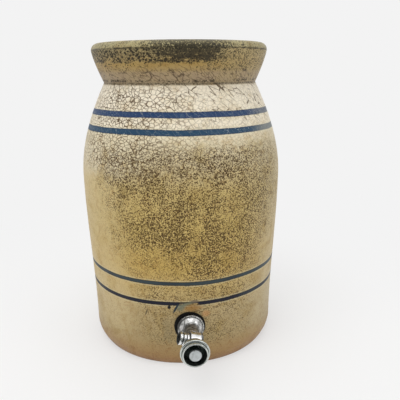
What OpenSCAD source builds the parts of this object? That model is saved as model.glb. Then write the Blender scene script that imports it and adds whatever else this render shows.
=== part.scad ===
// Stoneware water cooler with four slip bands and a push-button tap.
// The origin is at the centre of the foot, on the floor. The tap points along -Y.

/* [Jar] */
// Height of the jar, from the floor to the top of its lip
jar_h = 370; // [340:1:400]
// Radius of the foot, where the heel meets the floor
foot_r = 108; // [102:0.5:113]
// Height of the rounded heel
heel_h = 22; // [12:1:30]
// Radius of the wall just above the heel
low_r = 116.6; // [114:0.1:120]
// Radius of the belly, the widest part
belly_r = 123.9; // [120:0.1:130]
// Height of the belly
belly_z = 215; // [190:1:235]
// How steeply the shoulder runs into the neck
neck_slope = 0.5; // [0.3:0.05:0.8]
// Thickness of the wall
wall_t = 12.5; // [10:0.5:16]
// Thickness of the floor
floor_t = 14; // [10:0.5:20]
// Radius of the inside corner between floor and wall
floor_round = 14; // [6:1:20]

/* [Collar] */
// Height of the collar, from its groove to the top of the lip
collar_h = 45; // [38:1:52]
// Radius of the groove under the collar
neck_r = 92.7; // [90:0.1:97]
// Radius of the collar at its widest, just under the lip
lip_r = 105.9; // [103:0.1:112]
// Rounding of the lip's outer edge
lip_round = 8; // [4:0.5:9]
// How much the collar's side bows outwards, 1 is straight
collar_bow = 1.3; // [1:0.05:1.6]
// Clear radius of the mouth
mouth_r = 82; // [76:0.5:84]
// Radius of the recess that a lid drops into
lid_r = 91; // [87:0.5:92]
// Depth of that recess below the top of the lip
lid_depth = 14; // [8:1:20]
// Rounding of the recess's upper edge and of the ledge
mouth_round = 3; // [1:0.5:3.5]

/* [Slip bands] */
// Width of the two wide bands on the shoulder
band_w = 5.8; // [4:0.1:8]
// Height of the lower wide band's centre
band_z = 275.5; // [262:0.5:282]
// Distance between the two wide bands' centres
band_pitch = 18; // [12:0.5:22]
// Width of the two thin lines on the lower body
line_w = 3.5; // [2:0.1:6]
// Height of the lower thin line's centre
line_z = 82.2; // [78:0.1:92]
// Distance between the two thin lines' centres
line_pitch = 25.2; // [10:0.1:32]
// Thickness of the slip
slip_t = 0.6; // [0.3:0.1:1.2]

/* [Tap body] */
// Height of the tap's axis above the floor
tap_z = 54.4; // [50:0.1:58]
// Radius of the threaded shank
shank_r = 9; // [8.6:0.1:9.6]
// Length of the shank past the inner wall
shank_out = 19; // [17.5:0.5:24]
// Pitch of the shank's thread
thread_pitch = 1.8; // [1.2:0.1:2.5]
// Depth of the shank's thread
thread_depth = 0.7; // [0.3:0.05:0.9]
// Radius of the flange that sits on the washer
flange_r = 15.3; // [14:0.1:16.4]
// Thickness of the flange
flange_t = 3; // [2:0.1:4]
// Radius of the flange's rounded edge
flange_round = 0.8; // [0.3:0.1:0.9]
// Radius of the bell where it leaves the flange
bell_r = 13.2; // [12:0.1:13.6]
// Length of the bell, from the flange to the barrel
bell_l = 6.2; // [5:0.1:8]
// Radius of the barrel between the bell and the drum
barrel_r = 8.6; // [8.4:0.1:9.2]
// Distance from the washer to the spout's axis, which is the drum's
drum_out = 30.5; // [30:0.1:33]
// Radius of the drum that the spout screws into
drum_r = 9.8; // [9.6:0.1:10.2]
// Distance from the tap's axis to the drum's closed end
drum_back = 8.5; // [8:0.1:10]
// Distance from the tap's axis to the drum's end below the spout
drum_face = 6.2; // [6.1:0.1:6.6]
// Radius of the drum's rounded edges
drum_round = 0.8; // [0.3:0.1:1]
// Radius of the neck in front of the drum
neck_tube_r = 6; // [5.8:0.1:6.1]
// Distance from the spout's axis to the front of the neck
neck_tube_l = 12.7; // [12.4:0.1:14]
// Radius of the threaded spigot that carries the guard cup
spigot_r = 5.7; // [5.5:0.1:5.8]
// Length of that spigot
spigot_l = 5; // [4:0.1:6]

/* [Valve] */
// Radius of the shank's bore
bore_r = 6.4; // [6.1:0.1:6.8]
// Distance from the spout's axis back to the seat
seat_back = 8.8; // [8.6:0.1:9.2]
// Radius of the hole in the seat
seat_r = 3.4; // [3:0.1:3.8]
// Thickness of the wall that the seat is cut in
seat_t = 2; // [1.5:0.1:3]
// Height of the seat's raised lip
seat_lip = 0.8; // [0.4:0.1:1.2]
// Width of that lip
seat_lip_w = 0.8; // [0.5:0.1:1]
// Radius of the chamber in front of the seat
chamber_r = 5.6; // [5.5:0.1:5.7]
// Length of that chamber
chamber_l = 14; // [13:0.1:16]
// Radius of the valve stem
stem_r = 2; // [1.6:0.1:2.4]
// Length of the neck that guides the stem
guide_l = 2.5; // [1.5:0.1:3.5]
// Radius of the rubber disc
disc_r = 4.7; // [4.4:0.1:5]
// Thickness of the rubber disc
disc_t = 3; // [2.5:0.1:4]
// Wall of the cup that holds the disc
holder_wall = 0.6; // [0.4:0.1:0.9]
// Depth of that cup's recess
holder_depth = 1.8; // [1:0.1:2.2]
// Thickness of that cup's back
holder_back = 2.4; // [1.5:0.1:3.5]
// Width across the flats of the nut behind the cup
disc_nut_af = 6; // [5.6:0.1:6.6]
// Thickness of that nut
disc_nut_t = 2.4; // [2:0.1:3.2]
// Length of stem behind that nut
stem_tail = 1; // [0.5:0.1:3]

/* [Spring] */
// Diameter of the spring's wire
wire_d = 0.9; // [0.6:0.1:1.1]
// Radius of the spring, to the middle of its wire
coil_r = 4.6; // [4.4:0.1:4.8]
// Number of turns
coil_turns = 14; // [8:1:18]
// Thickness of the plug that holds the spring's inner end
retainer_t = 3; // [2:0.1:5]
// Distance from the end of the shank to that plug
retainer_in = 2; // [1:0.1:6]
// Radius of the six holes in the plug
retainer_hole_r = 1.1; // [0.7:0.1:1.2]

/* [Stem seal] */
// Radius of the packing chamber
packing_r = 4; // [3.8:0.1:4.3]
// Thickness of the packing ring
packing_t = 3; // [2:0.1:3.4]
// Thickness of the follower ring
follower_t = 1.2; // [0.8:0.1:1.6]
// Width across the flats of the gland nut
gland_af = 10; // [9:0.1:11]
// Thickness of the gland nut's head
gland_head_t = 2.2; // [1.6:0.1:3]

/* [Spout] */
// How far the spout points above the horizontal, as the tap stands turned
spout_turn = 20; // [-20:1:35]
// How far the spout leans forwards
spout_lean = 8; // [0:1:12]
// Distance from the tap's axis to the spout's mouth
spout_l = 17; // [15.5:0.1:22]
// Distance from the tap's axis to the boss's face
boss_l = 9.4; // [8.8:0.1:10]
// How far the boss's half-round moulding stands out
boss_bead = 0.5; // [0.2:0.1:0.8]
// Radius of the spout over its mouldings
spout_r = 7; // [6.7:0.1:7.5]
// Radius of the spout's bore
spout_bore_r = 4.9; // [4.2:0.1:5.1]
// Wall of the spigot that screws into the boss
spout_wall = 1.2; // [0.9:0.1:1.3]
// Depth of the coves between the mouldings
cove_depth = 0.8; // [0.4:0.1:0.9]
// Width of the coves
cove_w = 0.8; // [0.5:0.1:1.2]

/* [Guard cup] */
// Inner radius of the cup round the button
cup_r = 12.1; // [11.2:0.1:13]
// Depth of the cup in front of the spigot
cup_depth = 12.5; // [11.5:0.1:15]
// Radius over the cup's bead
bead_r = 15.9; // [15.6:0.1:17]
// Radius of the round of that bead
bead_round = 1.6; // [1.2:0.1:2]
// Distance from the cup's front plane back to the bead's middle
bead_back = 5.2; // [4.6:0.1:6]
// Thickness of the front ring's wall
ring_t = 1.6; // [1.2:0.1:2]
// Wall of the cup where it grips the spigot
cup_root_t = 2.2; // [1.5:0.1:3]

/* [Button] */
// Radius of the button
button_r = 6.6; // [6:0.1:7.2]
// How far its face stands in front of the guard cup
button_out = 0.5; // [0:0.1:2]
// How much its face is crowned
button_crown = 0.4; // [0.2:0.1:0.8]
// Length of the button's full-size part
button_l = 3.6; // [3:0.1:5]
// Radius of its hub
hub_r = 4.4; // [4:0.1:5]
// Length of its hub
hub_l = 2.7; // [2:0.1:3.2]
// Depth of the stem's end in the button
stem_in = 3; // [2:0.1:4]

/* [Washers and nut] */
// Radius of the outer rubber washer
washer_r = 17.8; // [16:0.1:20]
// Thickness of the outer rubber washer
washer_t = 3.3; // [2.5:0.1:5]
// How far the outer washer has slipped to the spout's side
washer_slip = 1; // [0:0.1:1]
// Radius of the inner rubber washer
inner_washer_r = 17; // [15:0.1:19]
// Thickness of the inner rubber washer at its middle
inner_washer_t = 4; // [3.5:0.1:6]
// Radius of the metal washer
backing_r = 16; // [14:0.1:18]
// Thickness of the metal washer
backing_t = 1.6; // [1:0.1:2.5]
// Width across the flats of the lock nut
lock_nut_af = 28; // [24:0.5:30]
// Thickness of the lock nut
lock_nut_t = 7; // [5:0.5:8]

/* [Clearances] */
// Round the shank in the jar's tap hole
hole_gap = 1.5; // [1:0.1:2.5]
// Round the shank in the rubber and metal washers
washer_gap = 1.2; // [1.1:0.1:1.8]
// Between a screwed piece and its mate
thread_gap = 0.05; // [0.02:0.01:0.1]
// Round the sliding stem
slide_gap = 0.08; // [0.05:0.01:0.1]
// Between a piece and the curved wall it sits on
wall_gap = 0.05; // [0.02:0.01:0.2]
// Between the rubber disc and its seat
valve_gap = 0.05; // [0.02:0.01:0.1]
// Round the rings in the packing chamber
ring_gap = 0.1; // [0.05:0.01:0.2]
// Left between button and gland nut when the button is pressed home
stop_gap = 0.5; // [0.3:0.1:0.8]

/* [Hidden] */

$fn = 96;
jar_fn = 360;  // the jar is large, so its turned faces take more sides
over = 1;  // how far a cut runs past the face it opens

// colours, as the photo shows them
clay = [0.72, 0.62, 0.43];
blue = [0.20, 0.29, 0.40];
rubber = [0.06, 0.06, 0.06];
nickel = [0.72, 0.72, 0.70];
worn_nickel = [0.60, 0.62, 0.60];
brass = [0.70, 0.58, 0.34];
steel = [0.55, 0.56, 0.58];
packing = [0.50, 0.46, 0.40];

// ---- the jar's side, as radius against height ----
neck_z = jar_h - collar_h;
shoulder_h = neck_z - belly_z;
heel_steps = 7;
side_steps = 16;
shoulder_steps = 16;
collar_steps = 8;
arc_steps = 6;

function ease(t) = t * t * (3 - 2 * t);

function heel_wall(z) = low_r - (low_r - foot_r) * pow(1 - z / heel_h, 2);

function side_wall(z) = low_r + (belly_r - low_r) * ease((z - heel_h) / (belly_z - heel_h));

function shoulder_wall(z) =
    let (t = (z - belly_z) / shoulder_h)
    belly_r + (neck_r - belly_r) * ease(t) + neck_slope * shoulder_h * t * t * (1 - t);

function wall_r(z) = z < heel_h ? heel_wall(z) : z < belly_z ? side_wall(z) : shoulder_wall(z);

function steps(low, high, count) = [for (i = [0 : count - 1]) low + (high - low) * i / count];

wall_heights = concat(steps(0, heel_h, heel_steps), steps(heel_h, belly_z, side_steps),
                      steps(belly_z, neck_z, shoulder_steps));

// points of an arc, from one angle to another
function arc(x, y, r, from, to, count = arc_steps) =
    [for (i = [0 : count]) let (a = from + (to - from) * i / count) [x + r * cos(a), y + r * sin(a)]];

// ---- places along the tap's axis, as distances from the jar's axis ----
wall_out = wall_r(tap_z);
wall_in = wall_out - wall_t;
shank_end = wall_in - shank_out;
flange_seat = wall_out + washer_t;
flange_front = flange_seat + flange_t;
spout_at = flange_seat + drum_out;
neck_front = spout_at + neck_tube_l;
spigot_front = neck_front + spigot_l;
cup_front = spigot_front + cup_depth;
seat_at = spout_at - seat_back;
chamber_from = seat_at + seat_t;
chamber_to = chamber_from + chamber_l;
packing_from = chamber_to + guide_l;
follower_from = packing_from + packing_t;
gland_from = follower_from + follower_t;
gland_front = spigot_front + gland_head_t;
disc_front = seat_at - seat_lip - valve_gap;
disc_back = disc_front - disc_t;
holder_from = disc_back - holder_back;
disc_nut_from = holder_from - disc_nut_t;
stem_from = disc_nut_from - stem_tail;
retainer_from = shank_end + retainer_in;
retainer_to = retainer_from + retainer_t;
button_front = cup_front + button_out;
button_back = button_front - button_l;
hub_back = button_back - hub_l;
stem_to = hub_back + stem_in;
press = hub_back - gland_front - stop_gap;
washer_in = wall_in - inner_washer_t;
backing_in = washer_in - backing_t;

holder_r = disc_r + holder_wall;
spout_tube_r = spout_bore_r + spout_wall;
echo(button_travel = press, spout_at = spout_at, wall_out = wall_out);

// turns the children's +Z to the tap's axis, measured from the jar's axis
module on_tap() {
    translate([0, 0, tap_z]) rotate([90, 0, 0]) children();
}

// turns the children's +Z to the spout's axis, measured from the tap's axis
module on_spout() {
    on_tap() translate([0, 0, spout_at]) rotate([0, 90 - spout_lean, 180 - spout_turn]) children();
}

// a ring or a rod between two distances along its axis
module ring(outer, inner, from, to) {
    translate([0, 0, from]) difference() {
        cylinder(r = outer, h = to - from);
        translate([0, 0, -over]) cylinder(r = inner, h = to - from + 2 * over);
    }
}

module rod(r, from, to) {
    translate([0, 0, from]) cylinder(r = r, h = to - from);
}

// a hexagon nut with its corners turned off at both faces
module hex_nut(across, bore, from, to) {
    corner = across / sqrt(3);
    height = to - from;
    turned = across / 2;
    slope = (corner - turned) * 0.6;
    translate([0, 0, from]) difference() {
        intersection() {
            cylinder(r = corner, h = height, $fn = 6);
            rotate_extrude() polygon([[0, 0], [turned, 0], [corner, slope], [corner, height - slope],
                                      [turned, height], [0, height]]);
        }
        translate([0, 0, -over]) cylinder(r = bore, h = height + 2 * over);
    }
}

// ---- jar ----
function collar_r(t) = neck_r + (lip_r - neck_r) * (1 - pow(1 - t, collar_bow));

collar_rise = collar_h - lip_round;
collar_side = [for (i = [1 : collar_steps]) let (t = i / collar_steps)
               [collar_r(t), neck_z + collar_rise * t]];

module jar_outside() {
    polygon(concat([[0, 0]], [for (z = wall_heights) [wall_r(z), z]], [[neck_r, neck_z]], collar_side,
                   arc(lip_r - lip_round, jar_h - lip_round, lip_round, 15, 90), [[0, jar_h]]));
}

floor_corner = floor_t + floor_round;
ledge_z = jar_h - lid_depth;

module jar_inside() {
    polygon(concat([[0, floor_t]],
                   arc(wall_r(floor_corner) - wall_t - floor_round, floor_corner, floor_round, -90, 0),
                   [for (z = wall_heights) if (z > floor_corner) [max(wall_r(z) - wall_t, mouth_r), z]],
                   arc(mouth_r + mouth_round, ledge_z - mouth_round, mouth_round, 180, 90),
                   [[lid_r, ledge_z]],
                   arc(lid_r + mouth_round, jar_h - mouth_round, mouth_round, 180, 90),
                   [[lid_r + mouth_round, jar_h + over], [0, jar_h + over]]));
}

// the slip bands' section: a strip of the wall, slip_t deep
module band_section(z, w, proud = 0) {
    low = z - w / 2;
    high = z + w / 2;
    heights = concat([low], [for (h = wall_heights) if (h > low && h < high) h], [high]);
    function chord_r(z) =
        let (i = max([for (k = [0 : len(wall_heights) - 1]) if (wall_heights[k] <= z) k]),
             z0 = wall_heights[i], z1 = i + 1 < len(wall_heights) ? wall_heights[i + 1] : neck_z,
             r0 = wall_r(z0), r1 = wall_r(z1))
        r0 + (r1 - r0) * (z - z0) / (z1 - z0);
    polygon(concat([for (h = heights) [chord_r(h) + proud, h]],
                   [[chord_r(high) - slip_t, high], [chord_r(low) - slip_t, low]]));
}

module all_bands(proud = 0) {
    for (i = [0, 1]) rotate_extrude($fn = jar_fn)
        band_section(band_z + i * band_pitch, band_w, proud);
    for (i = [0, 1]) rotate_extrude($fn = jar_fn)
        band_section(line_z + i * line_pitch, line_w, proud);
}

module jar() {
    color(clay) difference() {
        rotate_extrude($fn = jar_fn) difference() {
            jar_outside();
            jar_inside();
        }
        all_bands(over);
        on_tap() rod(shank_r + hole_gap, wall_in / 2, wall_out + wall_t);
    }
}

module slip_bands() {
    color(blue) all_bands();
}

// ---- washers and nut on the shank ----

// the jar's wall as a solid core, moved out or in by a distance
module wall_core(moved) {
    rotate_extrude($fn = jar_fn) polygon(concat(
        [[0, 0]], [for (z = wall_heights) if (z < belly_z) [wall_r(z) + moved, z]], [[0, belly_z]]));
}

module outer_washer() {
    color(rubber) difference() {
        on_tap() translate([-washer_slip, 0, 0])
            ring(washer_r, shank_r + washer_gap, wall_out - washer_t, flange_seat);
        wall_core(wall_gap);
    }
}

module inner_washer() {
    color(rubber) intersection() {
        on_tap() ring(inner_washer_r, shank_r + washer_gap, washer_in, wall_out);
        wall_core(-wall_t - wall_gap);
    }
}

module backing_washer() {
    color(brass) on_tap() ring(backing_r, shank_r + washer_gap, backing_in, washer_in);
}

module lock_nut() {
    color(brass) on_tap()
        hex_nut(lock_nut_af, shank_r + thread_gap, backing_in - lock_nut_t, backing_in);
}

// ---- tap body ----
bell_steps = 5;

function thread(r, from, to) =
    let (count = floor((to - from) / thread_pitch))
    [for (i = [0 : count - 1]) for (p = [[r, 0], [r - thread_depth, thread_pitch / 2]])
     [p[0], from + i * thread_pitch + p[1]]];

// the bell swells a little, so it falls faster as it nears the barrel
bell_swell = 0.3;
bell_side = [for (i = [0 : bell_steps]) let (t = i / bell_steps, fall = t - bell_swell * t * (1 - t))
             [bell_r - (bell_r - barrel_r) * fall, flange_front + bell_l * t]];
barrel_to = seat_at + seat_t;
shoulder_l = 1.5;

module casting_outside() {
    polygon(concat([[0, shank_end], [shank_r - thread_depth, shank_end]],
                   thread(shank_r, shank_end + thread_depth, flange_seat - thread_pitch),
                   [[shank_r, flange_seat - thread_pitch], [shank_r, flange_seat], [flange_r, flange_seat]],
                   arc(flange_r - flange_round, flange_front - flange_round, flange_round, 0, 90),
                   bell_side,
                   [[barrel_r, barrel_to], [neck_tube_r, barrel_to + shoulder_l], [neck_tube_r, neck_front],
                    [spigot_r, neck_front], [spigot_r, spigot_front], [0, spigot_front]]));
}

module casting_inside() {
    polygon([[0, shank_end - over], [bore_r, shank_end - over], [bore_r, seat_at],
             [seat_r + seat_lip_w, seat_at], [seat_r + seat_lip_w, seat_at - seat_lip],
             [seat_r, seat_at - seat_lip], [seat_r, chamber_from], [chamber_r, chamber_from],
             [chamber_r, chamber_to], [stem_r + slide_gap, chamber_to],
             [stem_r + slide_gap, packing_from], [packing_r, packing_from],
             [packing_r, spigot_front + over], [0, spigot_front + over]]);
}

// the drum crosses the barrel, and a half-round moulding round its open end carries the spout
module drum() {
    polygon(concat([[0, -drum_back]],
                   arc(drum_r - drum_round, drum_round - drum_back, drum_round, -90, 0),
                   arc(drum_r - drum_round, drum_face - drum_round, drum_round, 0, 90),
                   moulding(drum_face, boss_l, spout_r, boss_bead), [[0, boss_l]]));
}

module tap_body() {
    color(nickel) difference() {
        union() {
            on_tap() rotate_extrude() casting_outside();
            on_spout() rotate_extrude() drum();
        }
        on_tap() rotate_extrude() casting_inside();
        on_spout() rod(spout_tube_r + thread_gap, 0, spout_l);
        on_spout() rod(spout_r + wall_gap, boss_l, spout_l + drum_r);
    }
}

// ---- spout ----
// a half-round moulding between two distances along the spout, on a root of a given radius
function moulding(from, to, root, rise) =
    [for (i = [0 : arc_steps]) let (a = 180 * i / arc_steps)
     [root + rise * sin(a), (from + to) / 2 - (to - from) / 2 * cos(a)]];

spout_root = chamber_r - 0.5;  // the spigot's inner end lies just inside the chamber's wall
moulding_w = (spout_l - boss_l - cove_w) / 2;
cove_r = spout_r - cove_depth;

module spout() {
    color(nickel) on_spout() difference() {
        rotate_extrude() polygon(concat(
            [[0, spout_root], [spout_tube_r, spout_root], [spout_tube_r, boss_l]],
            moulding(boss_l, boss_l + moulding_w, cove_r, cove_depth),
            moulding(spout_l - moulding_w, spout_l, cove_r, cove_depth), [[0, spout_l]]));
        rod(spout_bore_r, 0, spout_l + over);
    }
}

// ---- guard cup ----
cup_steps = 6;
bead_at = cup_front - bead_back;
ring_r = cup_r + ring_t;
cup_root_r = spigot_r + cup_root_t;
cup_back = neck_front + thread_gap;
bowl_rise = bead_at - bead_round - cup_back;
// the cup's back is a bowl, a quarter of an ellipse from the spigot to the bead
bowl = [for (i = [1 : cup_steps - 1]) let (a = 90 * i / cup_steps)
        [cup_root_r + (bead_r - bead_round - cup_root_r) * sin(a), cup_back + bowl_rise * (1 - cos(a))]];

module guard_cup() {
    color(nickel) on_tap() rotate_extrude() polygon(concat(
        [[spigot_r + thread_gap, cup_back], [cup_root_r, cup_back]], bowl,
        arc(bead_r - bead_round, bead_at, bead_round, -90, 90),
        [[ring_r, bead_at + bead_round], [ring_r, cup_front - ring_t / 2]],
        arc(ring_r - ring_t / 2, cup_front - ring_t / 2, ring_t / 2, 15, 165),
        [[cup_r, cup_front - ring_t / 2], [cup_r, spigot_front], [spigot_r + thread_gap, spigot_front]]));
}

// ---- stem seal ----
module gland_nut() {
    color(brass) on_tap() difference() {
        union() {
            rod(packing_r - thread_gap, gland_from, spigot_front + over);
            hex_nut(gland_af, stem_r, spigot_front, gland_front);
        }
        rod(stem_r + slide_gap, gland_from - over, gland_front + over);
    }
}

module gland_follower() {
    color(brass) on_tap() ring(packing_r - ring_gap, stem_r + slide_gap, follower_from, gland_from);
}

module packing_ring() {
    color(packing) on_tap() ring(packing_r - ring_gap, stem_r + slide_gap, packing_from, follower_from);
}

// ---- plunger ----
crown_steps = 6;

module push_button() {
    crown = [for (i = [0 : crown_steps]) let (t = i / crown_steps)
             [(button_r - 2 * button_crown) * t, button_front - button_crown * t * t]];
    color(worn_nickel) on_tap() difference() {
        rotate_extrude() polygon(concat(
            [[0, hub_back], [hub_r, hub_back], [hub_r, button_back], [button_r, button_back],
             [button_r, button_front - 3 * button_crown]],
            [for (i = [crown_steps : -1 : 0]) crown[i]]));
        rod(stem_r + thread_gap, hub_back - over, stem_to + thread_gap);
    }
}

module valve_stem() {
    color(brass) on_tap() rod(stem_r, stem_from, stem_to);
}

module valve_disc() {
    color(rubber) on_tap() ring(disc_r - thread_gap, stem_r + thread_gap, disc_back, disc_front);
}

module disc_holder() {
    color(brass) on_tap() difference() {
        rod(holder_r, holder_from, disc_back + holder_depth);
        rod(disc_r, disc_back, disc_front);
        rod(stem_r + thread_gap, holder_from - over, disc_front);
    }
}

module disc_nut() {
    color(brass) on_tap() hex_nut(disc_nut_af, stem_r + thread_gap, disc_nut_from, holder_from);
}

// ---- spring and its plug ----
wire_sides = 6;
rings_per_turn = 8;
spring_rings = coil_turns * rings_per_turn;
spring_from = retainer_to + wire_d / 2 + ring_gap;
spring_to = holder_from - wire_d / 2 - ring_gap;

function spring_point(i, k) =
    let (turn = 360 * i / rings_per_turn, side = 360 * k / wire_sides,
         r = coil_r + wire_d / 2 * cos(side))
    [r * cos(turn), r * sin(turn),
     spring_from + (spring_to - spring_from) * i / spring_rings + wire_d / 2 * sin(side)];

module return_spring() {
    points = [for (i = [0 : spring_rings]) for (k = [0 : wire_sides - 1]) spring_point(i, k)];
    sides = [for (i = [0 : spring_rings - 1]) for (k = [0 : wire_sides - 1])
             let (a = i * wire_sides + k, b = i * wire_sides + (k + 1) % wire_sides)
             for (f = [[a, a + wire_sides, b + wire_sides], [a, b + wire_sides, b]]) f];
    first = [for (k = [0 : wire_sides - 1]) k];
    last = [for (k = [wire_sides - 1 : -1 : 0]) spring_rings * wire_sides + k];
    color(steel) on_tap() polyhedron(points, concat(sides, [first], [last]), convexity = 8);
}

module spring_retainer() {
    color(brass) on_tap() difference() {
        rod(bore_r - thread_gap, retainer_from, retainer_to);
        for (a = [0 : 60 : 300]) rotate([0, 0, a]) translate([bore_r / 2, 0, 0])
            rod(retainer_hole_r, retainer_from - over, retainer_to + over);
    }
}

jar();
slip_bands();
outer_washer();
tap_body();
spout();
guard_cup();
push_button();
gland_nut();
gland_follower();
packing_ring();
valve_stem();
valve_disc();
disc_holder();
disc_nut();
return_spring();
spring_retainer();
inner_washer();
backing_washer();
lock_nut();
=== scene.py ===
# Stoneware water pot with a push-button tap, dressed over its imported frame. Lengths are in metres.
import math

import bmesh
import bpy
from mathutils import Matrix, Vector


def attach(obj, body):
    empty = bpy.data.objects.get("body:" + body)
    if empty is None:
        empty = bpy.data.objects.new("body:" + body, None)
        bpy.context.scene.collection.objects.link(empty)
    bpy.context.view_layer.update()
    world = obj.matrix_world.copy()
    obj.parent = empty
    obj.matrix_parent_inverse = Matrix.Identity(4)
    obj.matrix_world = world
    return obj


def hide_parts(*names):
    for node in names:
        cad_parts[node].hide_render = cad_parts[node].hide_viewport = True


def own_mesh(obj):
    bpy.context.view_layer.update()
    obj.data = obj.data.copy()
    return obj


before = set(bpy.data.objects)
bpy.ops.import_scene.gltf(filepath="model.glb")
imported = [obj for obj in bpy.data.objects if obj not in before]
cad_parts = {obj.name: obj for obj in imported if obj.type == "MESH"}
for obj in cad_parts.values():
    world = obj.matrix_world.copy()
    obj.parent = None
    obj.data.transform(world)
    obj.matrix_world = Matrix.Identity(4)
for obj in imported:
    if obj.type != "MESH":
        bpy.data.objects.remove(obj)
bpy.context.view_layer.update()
print("frame loaded,", len(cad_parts), "nodes")


# helpers for node trees and meshes

weldGap = 1e-7


def paint(red, green, blue):
    # a colour as a screen shows it, 0 to 255, turned into what a shader takes
    def light(level):
        level = level / 255
        return level / 12.92 if level < 0.04045 else ((level + 0.055) / 1.055) ** 2.4
    return (light(red), light(green), light(blue), 1.0)


def put(tree, kind, sockets=None, **settings):
    made = tree.nodes.new("ShaderNode" + kind)
    for name, value in settings.items():
        setattr(made, name, value)
    for place, value in (sockets or {}).items():
        if isinstance(value, bpy.types.NodeSocket):
            tree.links.new(value, made.inputs[place])
        else:
            made.inputs[place].default_value = value
    return made


def treeOf(*values):
    # the node tree that holds the first socket among the values
    return next(value.id_data for value in values if isinstance(value, bpy.types.NodeSocket))


def calc(operation, first, second=0.0, clamp=False):
    made = put(treeOf(first, second), "Math", {0: first, 1: second}, operation=operation, use_clamp=clamp)
    return made.outputs[0]


def times(*values):
    result = values[0]
    for value in values[1:]:
        result = calc("MULTIPLY", result, value)
    return result


def plus(first, second, clamp=False):
    return calc("ADD", first, second, clamp)


def minus(first, second):
    return calc("SUBTRACT", first, second)


def most(*values):
    result = values[0]
    for value in values[1:]:
        result = calc("MAXIMUM", result, value)
    return result


def offset(value, noise, amount):
    # moves a value up and down by a noise
    return plus(value, times(minus(noise, 0.5), amount))


def fade(value, low, high, start=0.0, end=1.0):
    # a soft step from start to end while the value goes from low to high
    sockets = {"Value": value, "From Min": low, "From Max": high, "To Min": start, "To Max": end}
    return put(treeOf(value), "MapRange", sockets, interpolation_type="SMOOTHSTEP").outputs["Result"]


def hump(value, low, high, soft):
    # one between low and high, nought outside, with soft flanks
    return times(fade(value, low - soft, low + soft), fade(value, high + soft, high - soft))


def axesOf(spot):
    return put(treeOf(spot), "SeparateXYZ", {0: spot}).outputs


def stretched(where, x, y, z):
    return put(treeOf(where), "Mapping", {"Vector": where, "Scale": (x, y, z)}).outputs[0]


def cloud(where, scale, detail=3.0, roughness=0.55, distortion=0.0):
    sockets = {"Vector": where, "Scale": scale, "Detail": detail, "Roughness": roughness,
               "Distortion": distortion}
    return put(treeOf(where), "TexNoise", sockets).outputs["Fac"]


def cells(where, scale, feature="DISTANCE_TO_EDGE"):
    made = put(treeOf(where), "TexVoronoi", {"Vector": where, "Scale": scale}, feature=feature)
    return made.outputs["Distance"]


def blend(amount, first, second, mode="MIX"):
    made = put(treeOf(amount), "Mix", {0: amount, 6: first, 7: second}, data_type="RGBA", blend_type=mode)
    return made.outputs[2]


def steps(amount, stops):
    made = put(treeOf(amount), "ValToRGB", {0: amount})
    ramp = made.color_ramp
    for i, (place, colour) in enumerate(stops):
        stop = ramp.elements[i] if i < 2 else ramp.elements.new(place)
        stop.position = place
        stop.color = colour
    return made.outputs["Color"]


def newMaterial(name, **shaderValues):
    # gives the material, and the place on the object that its textures read
    material = bpy.data.materials.new(name)
    material.use_nodes = True
    tree = material.node_tree
    for socket, value in shaderValues.items():
        tree.nodes["Principled BSDF"].inputs[socket.replace("_", " ")].default_value = value
    return material, put(tree, "TexCoord").outputs["Object"]


def dressed(material, colour, rough, dent, depth, strength):
    tree = material.node_tree
    bump = put(tree, "Bump", {"Height": dent, "Strength": strength, "Distance": depth}).outputs[0]
    for socket, value in (("Base Color", colour), ("Roughness", rough), ("Normal", bump)):
        tree.links.new(value, tree.nodes["Principled BSDF"].inputs[socket])
    return material


def finishMesh(bm, name, sharpAngle=32):
    bmesh.ops.remove_doubles(bm, verts=bm.verts, dist=weldGap)
    bmesh.ops.recalc_face_normals(bm, faces=bm.faces)
    mesh = bpy.data.meshes.new(name)
    bm.to_mesh(mesh)
    bm.free()
    mesh.shade_smooth()
    mesh.set_sharp_from_angle(angle=math.radians(sharpAngle))
    made = bpy.data.objects.new(name, mesh)
    bpy.context.scene.collection.objects.link(made)
    return made


def turned(profile, sides, closed=True):
    # spins a profile of (radius, distance along the axis) round +Z
    bm = bmesh.new()
    corners = [bm.verts.new((r, 0, z)) for r, z in profile]
    edges = [bm.edges.new(pair) for pair in zip(corners, corners[1:])]
    if closed:
        edges.append(bm.edges.new((corners[-1], corners[0])))
    bmesh.ops.spin(bm, geom=corners + edges, cent=(0, 0, 0), axis=(0, 0, 1), angle=math.tau,
                   steps=sides, use_merge=True)
    bmesh.ops.remove_doubles(bm, verts=bm.verts, dist=weldGap)
    return bm


def lathed(name, profile, sides, place, closed=False):
    # a turned piece, laid along the axis that the place gives
    piece = finishMesh(turned(profile, sides, closed), name)
    piece.data.transform(place)
    return piece


def rod(radius, start, end, sides):
    # a plain closed cylinder between two distances along +Z, to cut with
    return turned([(0, start), (radius, start), (radius, end), (0, end)], sides, closed=False)


def arc(x, y, r, start, end, count=6):
    turns = [math.radians(start + (end - start) * i / count) for i in range(count + 1)]
    return [(x + r * math.cos(a), y + r * math.sin(a)) for a in turns]


def carve(piece, tool, operation="DIFFERENCE"):
    # joins or cuts with another closed mesh, which is then thrown away
    cut = piece.modifiers.new("carve", "BOOLEAN")
    cut.operation = operation
    cut.solver = "EXACT"
    cut.object = tool
    applyAll(piece)
    bpy.data.objects.remove(tool)


def applyAll(piece):
    bpy.context.view_layer.update()
    ready = bpy.data.meshes.new_from_object(piece.evaluated_get(bpy.context.evaluated_depsgraph_get()))
    piece.modifiers.clear()
    piece.data = ready


def smoothAgain(piece, sharpAngle=32):
    piece.data.shade_smooth()
    piece.data.set_sharp_from_angle(angle=math.radians(sharpAngle))


# the jar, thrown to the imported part's own measures

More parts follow.
